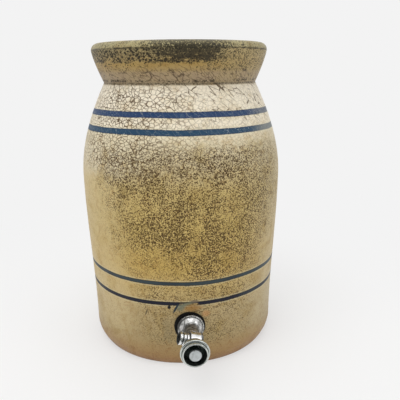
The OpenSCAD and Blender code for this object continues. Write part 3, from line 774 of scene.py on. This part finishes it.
def makeButton():
    front = spigotFront + guard["length"] + button["proud"]
    back = front - button["thick"]
    face, hub, hubBack = button["faceRadius"], button["hubRadius"], back - button["hubLength"]
    crown = [(face * i / 10, front - button["crown"] * (i / 10) ** 2) for i in range(11)]
    profile = ([(0, hubBack), (hub - 0.0001, hubBack), (hub, back - 0.0026), (hub, back),
                (button["radius"] - button["bevel"], back), (button["radius"], back + button["bevel"]),
                (button["radius"], front - 0.0011)]
               + arc(face, front - 0.0009, 0.0005, 0, 90, 5)[:-1] + list(reversed(crown)))
    piece = finishMesh(turned(profile, 96, closed=False), "thumbButton")
    carve(piece, finishMesh(rod(button["stemHole"], 0.17, back + 0.0003, 32), "hole"))
    smoothAgain(piece)
    piece.data.transform(tapFrame)
    return piece


def makeWasher():
    # its back follows the jar's round wall
    thick = tap["seat"] - tap["wallOut"]
    profile = (arc(washer["frontRadius"], thick - washer["frontRound"], washer["frontRound"], 90, 0, 5)
               + arc(washer["backRadius"], washer["backRound"], washer["backRound"], 0, -90, 4)
               + [(washer["bore"], 0), (washer["bore"], thick)])
    bm = turned(profile, 120)
    for corner in bm.verts:
        x, y, up = corner.co
        x -= washer["aside"]
        wall = math.sqrt(max(0, wallRadius(tapHeight + y) ** 2 - x * x)) + washer["clearance"]
        lift = up / thick
        swollen = 1 + (washer["swelling"] * math.sin(3 * math.atan2(y, x) + 1)
                       * (math.hypot(x, y) > washer["swollenFrom"]))
        corner.co = (x * swollen, y * swollen, wall + (tap["seat"] - wall) * lift)
    piece = finishMesh(bm, "rubberWasher")
    piece.data.transform(tapFrame)
    return piece


def makeSpring():
    start, count = coil["start"], coil["turns"] * coil["turnSteps"]
    bm = bmesh.new()
    made = bmesh.ops.create_circle(bm, segments=10, radius=coil["wire"], matrix=Matrix.Translation(
        (coil["radius"], 0, start)) @ Matrix.Rotation(math.pi / 2, 4, "X"))
    ring = made["verts"]
    rim = list({edge for corner in ring for edge in corner.link_edges})
    bmesh.ops.spin(bm, geom=ring + rim, cent=(0, 0, 0), axis=(0, 0, 1), angle=math.tau * coil["turns"],
                   dvec=(0, 0, (coil["end"] - start) / count), steps=count)
    bmesh.ops.holes_fill(bm, edges=[edge for edge in bm.edges if edge.is_boundary])
    piece = finishMesh(bm, "returnCoil", 50)
    piece.data.transform(tapFrame)
    return piece


tapCasting, mouldedSpout, buttonGuard = makeTapBody(), makeSpout(), makeGuard()
thumbButton, rubberWasher, returnCoil = makeButton(), makeWasher(), makeSpring()
for piece, body, node, slot in [
        (tapCasting, "pot", "tap_body", "nickel"), (mouldedSpout, "pot", "spout", "nickel"),
        (buttonGuard, "pot", "guard_cup", "nickel"), (thumbButton, "plunger", "push_button", "worn_nickel"),
        (rubberWasher, "pot", "outer_washer", "black_rubber"),
        (returnCoil, "pot", "return_spring", "spring_steel")]:
    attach(piece, body)
    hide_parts(node)
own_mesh(returnCoil)
print("tap made")


def coveGrimeAndShade(spot):
    # grime and painted shade in the coves between the mouldings, and painted shade down the spout's bore
    away, far = axisDistance(spot, spoutFrame)
    coves = times(most(fade(away, 0.0068, 0.0065), fade(far, 0.0100, 0.0097)), fade(far, 0.0090, 0.0094))
    mouth = fade(away, 0.0052, 0.0049)
    return most(coves, mouth), paint(26, 32, 28)


def cupShadeAndGrime(spot):
    # painted shade with some grime: near black in the recess round the button and in the bead's groove, darker
    # over the cup's back bowl
    away, far = axisDistance(spot, tapFrame)
    recess = times(fade(away, 0.01235, 0.0120), fade(far, spigotFront - 0.001, spigotFront))
    groove = times(hump(away, 0.0134, 0.0145, 0.0003),
                   hump(far, spigotFront + 0.0085, spigotFront + 0.0096, 0.0003), 0.8)
    bowl = times(fade(far, spigotFront + 0.002, spigotFront - 0.002), 0.45)
    return most(recess, groove, bowl), paint(34, 54, 46)


def castingTarnishAndShade(spot):
    # pits on the flange, mottled tarnish on the bell and dirt at the spout's joint; the rest is painted shade
    # and painted dark reflection
    away, far = axisDistance(spot, tapFrame)
    out, along = axisDistance(spot, spoutFrame)
    aside = calc("ABSOLUTE", axesOf(spot)[0])
    dull = cloud(spot, 260, 3)
    onDrum = fade(out, 0.0104, 0.0100)
    # painted shade where the bell meets the flange
    foot = times(hump(far, flangeFront - 0.0004, flangeFront + 0.0005, 0.0004), fade(away, 0.0150, 0.0140), 0.8)
    pocks = times(fade(away, 0.0138, 0.0144), fade(cloud(spot, 700, 2), 0.50, 0.58), 0.75)
    uneven = offset(aside, cloud(spot, 170, 3, 0.6, 0.8), 0.012)
    # painted shade and reflection on the bell's flanks, set by the world's left and right
    flanks = times(fade(uneven, 0.0040, 0.0125), fade(far, flangeFront + 0.0002, flangeFront + 0.0008),
                   fade(far, spoutAt - 0.0095, spoutAt - 0.0105), fade(dull, 0.35, 0.65, 0.30, 0.66))
    # a painted dark reflection on the barrel
    barrel = times(hump(far, flangeFront + 0.0046, spoutAt - 0.0078, 0.0012),
                   fade(away, 0.0116, 0.0102), fade(dull, 0.30, 0.62, 0.45, 0.90))
    mottled = times(hump(far, flangeFront + 0.0004, flangeFront + 0.0048, 0.0004),
                    fade(cloud(spot, 430, 3, 0.7, 0.8), 0.47, 0.60), 0.62)
    # the drum's far end darker
    end = times(fade(along, -0.0054, -0.0062), onDrum, fade(dull, 0.30, 0.62, 0.60, 0.94))
    # painted shade where the drum's face meets the boss
    step = times(hump(along, 0.0058, 0.0067, 0.0004), fade(out, 0.0068, 0.0071), 0.9)
    joint = times(fade(along, 0.0088, 0.0092), 0.9)
    # painted shade on the neck under the guard cup
    neck = times(fade(away, 0.0072, 0.0062), fade(far, spoutAt + 0.0068, spoutAt + 0.0080), 0.85)
    # painted shade where the drum meets the barrel
    seam = times(fade(far, spoutAt - 0.0052, spoutAt - 0.0068), fade(far, spoutAt - 0.0110, spoutAt - 0.0102),
                 onDrum, fade(dull, 0.30, 0.62, 0.60, 0.90))
    grimeAndShade = most(foot, pocks, mottled, flanks, barrel, end, step, joint, neck, seam)
    return grimeAndShade, paint(46, 44, 36)


def buttonSideShade(spot):
    # painted shade on the button's rim and side, down in the cup's recess
    away = axisDistance(spot, tapFrame)[0]
    return times(fade(away, 0.0062, 0.0066), 0.7), paint(64, 66, 62)


for piece, finish in [
        (tapCasting, makeNickel("tapNickel", castingTarnishAndShade, 0.02, (0.88, 0.88, 0.87))),
        (mouldedSpout, makeNickel("spoutNickel", coveGrimeAndShade, 0.02, (0.88, 0.89, 0.88))),
        (buttonGuard, makeNickel("guardNickel", cupShadeAndGrime, 0.06, (0.60, 0.63, 0.60))),
        (thumbButton, makeNickel("buttonNickel", buttonSideShade, 0.18, (0.50, 0.53, 0.53)))]:
    piece.data.materials.append(finish)


def makeRubber():
    material, spot = newMaterial("agedRubber", Specular_IOR_Level=0.2)
    dust = cloud(spot, 160, 4, 0.65)
    grain = cloud(spot, 1800, 3, 0.7)
    colour = steps(dust, [(0.35, paint(5, 5, 5)), (0.65, paint(11, 11, 10)), (0.82, paint(36, 34, 30))])
    return dressed(material, colour, fade(dust, 0.3, 0.7, 0.55, 0.8), grain, 0.0001, 0.5)


def makeMetal(name, light, dark, metallic, rough, scale):
    # a plain worked metal, streaked by the tool that turned or drew it
    material, spot = newMaterial(name, Metallic=metallic)
    patches = cloud(spot, 180, 4, 0.6, 0.8)
    lines = cloud(stretched(spot, 1.0, 6.0, 1.0), scale, 3, 0.6)
    colour = steps(patches, [(0.32, paint(*dark)), (0.62, paint(*light))])
    colour = blend(fade(lines, 0.4, 0.7, 0, 0.35), colour, paint(*dark))
    return dressed(material, colour, fade(patches, 0.3, 0.7, rough + 0.14, rough), lines, 0.00008, 0.5)


def makePacking():
    material, spot = newMaterial("cordPacking")
    sockets = {"Vector": stretched(spot, 1.0, 2.5, 1.0), "Scale": 500.0, "Distortion": 3.0, "Detail": 2.0}
    strands = put(material.node_tree, "TexWave", sockets).outputs["Fac"]
    colour = steps(strands, [(0.2, paint(96, 86, 66)), (0.8, paint(158, 146, 118))])
    return dressed(material, colour, fade(strands, 0, 1, 0.9, 0.7), strands, 0.0002, 0.7)


rubber = makeRubber()
brass = makeMetal("turnedBrass", (196, 162, 92), (128, 98, 52), 1.0, 0.26, 420)
spring = makeMetal("drawnWire", (186, 188, 190), (118, 120, 122), 1.0, 0.22, 700)
tarnished = makeMetal("tarnishedBrass", (54, 70, 60), (24, 36, 30), 0.7, 0.45, 420)
packing = makePacking()
rubberWasher.data.materials.append(rubber)
returnCoil.data.materials.append(spring)
hidden = {
    "gland_nut": tarnished, "gland_follower": brass, "packing_ring": packing, "valve_stem": brass,
    "valve_disc": rubber, "disc_holder": brass, "disc_nut": brass, "spring_retainer": brass,
    "inner_washer": rubber, "backing_washer": brass, "lock_nut": brass,
}
for node, finish in hidden.items():
    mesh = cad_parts[node].data
    mesh.materials.clear()
    mesh.materials.append(finish)
print("metals and rubber done")


# floor, lights and camera

studio = {
    "pale": paint(243, 243, 243), "floorTone": (0.90, 0.90, 0.90, 1),
    "worldLight": 0.74, "keyPower": 13.0, "fillPower": 2.5, "topPower": 3.0,
    "flagDistance": 1.6, "flagHeight": 1.05, "flagTone": 0.03,
    "flagFrom": -160, "flagSweep": 140, "flagSides": 28, "floorRadius": 6.0, "floorDrop": 0.0002,
}
view = {
    # focal length in the photo's pixels, then the photo's width and the sensor's in millimetres
    "focal": 499.2, "pixels": 400, "sensor": 36.0, "roll": 0.49,
    "place": (-0.0386, -0.6356, 0.3409), "look": (0.0944, 0.9623, -0.2551),
}


def seenDirectly(tree):
    # one for rays straight from the camera, off a reflection or through something clear
    ray = put(tree, "LightPath")
    return most(ray.outputs["Is Camera Ray"], ray.outputs["Is Glossy Ray"],
                ray.outputs["Is Transmission Ray"])


def makeFloor():
    bm = bmesh.new()
    bmesh.ops.create_circle(bm, cap_ends=True, segments=96, radius=studio["floorRadius"])
    floor = finishMesh(bm, "paleFloor")
    for corner in floor.data.vertices:
        corner.co.z = -studio["floorDrop"]
    material, spot = newMaterial("palePaper", Roughness=0.9, Specular_IOR_Level=0.1)
    tree, shader = material.node_tree, material.node_tree.nodes["Principled BSDF"]
    fibre = cloud(spot, 300, 3)
    tree.links.new(steps(fibre, [(0.3, (0.885, 0.885, 0.885, 1)), (0.7, studio["floorTone"])]),
                   shader.inputs["Base Color"])
    away = put(tree, "VectorMath", {0: spot}, operation="LENGTH").outputs["Value"]
    glow = put(tree, "Emission", {"Color": studio["pale"], "Strength": 1.0}).outputs[0]
    mixed = put(tree, "MixShader", {0: fade(away, 0.15, 0.60, 0.55, 1.0), 1: shader.outputs[0], 2: glow})
    both = put(tree, "MixShader", {0: seenDirectly(tree), 1: shader.outputs[0], 2: mixed.outputs[0]})
    tree.links.new(both.outputs[0], tree.nodes["Material Output"].inputs["Surface"])
    floor.data.materials.append(material)


def makeWorld():
    world = bpy.data.worlds.new("paleRoom")
    bpy.context.scene.world = world
    world.use_nodes = True
    tree = world.node_tree
    light = tree.nodes["Background"]
    light.inputs["Color"].default_value = (1, 1, 1, 1)
    light.inputs["Strength"].default_value = studio["worldLight"]
    shown = put(tree, "Background", {"Color": studio["pale"], "Strength": 1.0})
    mixed = put(tree, "MixShader", {0: seenDirectly(tree), 1: light.outputs[0], 2: shown.outputs[0]})
    tree.links.new(mixed.outputs[0], tree.nodes["World Output"].inputs["Surface"])


def softBox(name, place, target, size, power, glossy=True):
    lamp = bpy.data.lights.new(name, "AREA")
    lamp.shape = "RECTANGLE"
    lamp.size, lamp.size_y = size
    lamp.energy = power
    holder = bpy.data.objects.new(name, lamp)
    bpy.context.scene.collection.objects.link(holder)
    holder.visible_glossy = glossy
    holder.location = place
    holder.rotation_euler = (Vector(target) - Vector(place)).to_track_quat("-Z", "Y").to_euler()


def makeDarkFlag():
    # a dark curved card low in front of the pot, there only for the bright metal to reflect
    bm = bmesh.new()
    far, high = studio["flagDistance"], studio["flagHeight"]
    sides = studio["flagSides"]
    turns = [math.radians(studio["flagFrom"] + studio["flagSweep"] * i / sides) for i in range(sides + 1)]
    low = [bm.verts.new((far * math.cos(a), far * math.sin(a), 0.0)) for a in turns]
    top = [bm.verts.new((far * math.cos(a), far * math.sin(a), high)) for a in turns]
    for i in range(sides):
        bm.faces.new((low[i], low[i + 1], top[i + 1], top[i]))
    flag = finishMesh(bm, "darkFlag")
    material, spot = newMaterial("blackFelt", Roughness=1.0, Specular_IOR_Level=0.0)
    tree = material.node_tree
    dark, light = [(level, level, level, 1) for level in (studio["flagTone"], studio["flagTone"] * 1.4)]
    nap = steps(cloud(spot, 40, 2), [(0.3, dark), (0.7, light)])
    tree.links.new(nap, tree.nodes["Principled BSDF"].inputs["Base Color"])
    flag.data.materials.append(material)
    flag.visible_camera = flag.visible_diffuse = flag.visible_shadow = flag.visible_transmission = False


def makeCamera():
    # solved from the pot's outline in the photograph
    lens = bpy.data.cameras.new("photoView")
    lens.sensor_width = view["sensor"]
    lens.lens = view["focal"] / view["pixels"] * view["sensor"]
    lens.clip_start, lens.clip_end = 0.01, 50
    holder = bpy.data.objects.new("photoView", lens)
    bpy.context.scene.collection.objects.link(holder)
    place, look = Vector(view["place"]), Vector(view["look"]).normalized()
    level = look.cross(Vector((0, 0, 1))).normalized()
    up = level.cross(look)
    roll = math.radians(view["roll"])
    right = level * math.cos(roll) - up * math.sin(roll)
    top = level * math.sin(roll) + up * math.cos(roll)
    holder.matrix_world = Matrix((
        (right.x, top.x, -look.x, place.x), (right.y, top.y, -look.y, place.y),
        (right.z, top.z, -look.z, place.z), (0, 0, 0, 1)))
    bpy.context.scene.camera = holder


makeFloor()
makeWorld()
makeDarkFlag()
softBox("keyWindow", (-0.65, -0.85, 1.75), (0, 0, 0.15), (1.6, 1.6), studio["keyPower"], glossy=False)
softBox("rightFill", (1.1, -0.8, 0.9), (0, 0, 0.18), (0.9, 0.9), studio["fillPower"])
softBox("topSheet", (0, 0.1, 1.5), (0, 0, 0.1), (1.2, 1.2), studio["topPower"])
makeCamera()
bpy.context.scene.view_settings.view_transform = "Standard"
print("studio set")
